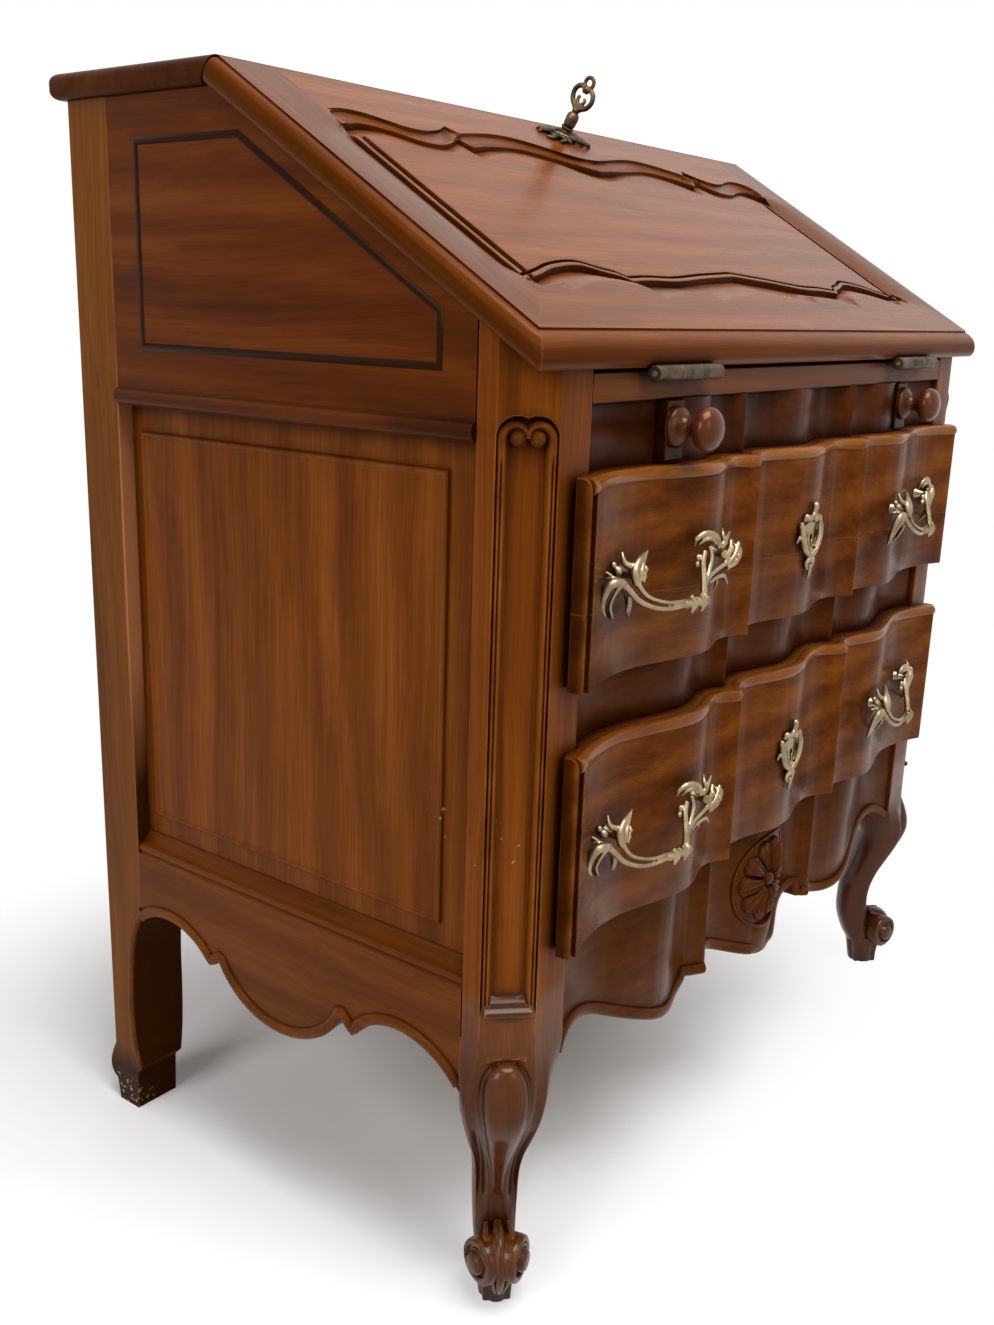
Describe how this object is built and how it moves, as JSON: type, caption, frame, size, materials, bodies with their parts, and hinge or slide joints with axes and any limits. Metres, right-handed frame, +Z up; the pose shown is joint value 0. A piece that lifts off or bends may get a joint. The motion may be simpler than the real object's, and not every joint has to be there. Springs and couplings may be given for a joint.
{
  "type": "slant-front secretary desk",
  "caption": "Slant-front writing desk with a hinged fall front, pull-out supports, crossbow-shaped drawers, canted corner posts and cabriole legs with scroll feet.",
  "frame": {"origin": "on the floor under the middle of the desk's bounding box", "axes": "+X to the right as one faces the desk, +Y to the back, +Z up"},
  "size_m": [0.8386, 0.5506, 0.9981],
  "materials": {
    "walnut": "stained walnut, semi-gloss varnish",
    "inside_wood": "plain secondary wood, thinly varnished",
    "knob_wood": "turned, dark red-brown polish",
    "antique_brass": "cast, aged, darkened in the hollows",
    "dark_bronze": "dark patina",
    "lock_iron": "plain steel and iron lock parts"
  },
  "bodies": {
    "case": {"front_post_left": "walnut", "front_post_right": "walnut", "back_post_left": "walnut", "back_post_right": "walnut", "side_upper_left": "walnut", "side_upper_right": "walnut", "side_panel_left": "walnut", "side_panel_right": "walnut", "side_apron_left": "walnut", "side_apron_right": "walnut", "front_apron": "walnut", "drawer_rail": "walnut", "frieze": "walnut", "hinge_rail": "walnut", "top_board": "walnut", "writing_bed": "inside_wood", "back_panel": "inside_wood", "back_rails": "inside_wood", "drawer_runners": "inside_wood", "loper_deck": "inside_wood", "loper_guides": "inside_wood", "gallery_shelf": "inside_wood", "gallery_uprights": "inside_wood", "hinge_leaves_case": "dark_bronze", "hinge_pins": "lock_iron", "fall_strike": "lock_iron"},
    "fall_front": {"fall_stile_left": "walnut", "fall_stile_right": "walnut", "fall_rail_top": "walnut", "fall_rail_bottom": "walnut", "fall_panel": "walnut", "hinge_leaves_fall": "dark_bronze", "fall_lock": "lock_iron", "fall_escutcheon": "dark_bronze"},
    "key": {"fall_key": "dark_bronze"},
    "key_bolt": {"fall_bolt": "lock_iron"},
    "slide_support_left": {"loper_left": "walnut", "loper_knob_left": "knob_wood"},
    "gallery_drawer_left": {"small_drawer_left": "inside_wood", "small_knob_left": "knob_wood"},
    "slide_support_right": {"loper_right": "walnut", "loper_knob_right": "knob_wood"},
    "gallery_drawer_right": {"small_drawer_right": "inside_wood", "small_knob_right": "knob_wood"},
    "upper_drawer": {"upper_front": "walnut", "upper_sides": "inside_wood", "upper_back": "inside_wood", "upper_bottom": "inside_wood", "upper_pulls": "antique_brass", "upper_escutcheon": "antique_brass", "upper_lock": "lock_iron"},
    "upper_drawer_bolt": {"upper_bolt": "lock_iron"},
    "lower_drawer": {"lower_front": "walnut", "lower_sides": "inside_wood", "lower_back": "inside_wood", "lower_bottom": "inside_wood", "lower_pulls": "antique_brass", "lower_escutcheon": "antique_brass", "lower_lock": "lock_iron"},
    "lower_drawer_bolt": {"lower_bolt": "lock_iron"}
  },
  "joints": [
    {"name": "fall_hinge", "type": "hinge", "parent": "case", "child": "fall_front", "pos_m": [0, -0.2397, 0.742], "axis": [1, 0, 0], "range_deg": [0, 148.5]},
    {"name": "key_turn", "type": "hinge", "parent": "fall_front", "child": "key", "pos_m": [0.008, 0.05328, 0.94589], "axis": [0, -0.5225, 0.8526], "range_deg": [0, 90]},
    {"name": "fall_bolt_slide", "type": "slide", "parent": "fall_front", "child": "key_bolt", "axis": [0, 0.8526, 0.5225], "range_m": [0, 0.009]},
    {"name": "loper_slide_left", "type": "slide", "parent": "case", "child": "slide_support_left", "axis": [0, -1, 0], "range_m": [0, 0.25]},
    {"name": "loper_slide_right", "type": "slide", "parent": "case", "child": "slide_support_right", "axis": [0, -1, 0], "range_m": [0, 0.25]},
    {"name": "upper_drawer_slide", "type": "slide", "parent": "case", "child": "upper_drawer", "axis": [0, -1, 0], "range_m": [0, 0.32]},
    {"name": "upper_bolt_slide", "type": "slide", "parent": "upper_drawer", "child": "upper_drawer_bolt", "axis": [0, 0, 1], "range_m": [0, 0.009]},
    {"name": "lower_drawer_slide", "type": "slide", "parent": "case", "child": "lower_drawer", "axis": [0, -1, 0], "range_m": [0, 0.32]},
    {"name": "lower_bolt_slide", "type": "slide", "parent": "lower_drawer", "child": "lower_drawer_bolt", "axis": [0, 0, 1], "range_m": [0, 0.009]},
    {"name": "gallery_slide_left", "type": "slide", "parent": "case", "child": "gallery_drawer_left", "axis": [0, -1, 0], "range_m": [0, 0.09]},
    {"name": "gallery_slide_right", "type": "slide", "parent": "case", "child": "gallery_drawer_right", "axis": [0, -1, 0], "range_m": [0, 0.09]}
  ]
}
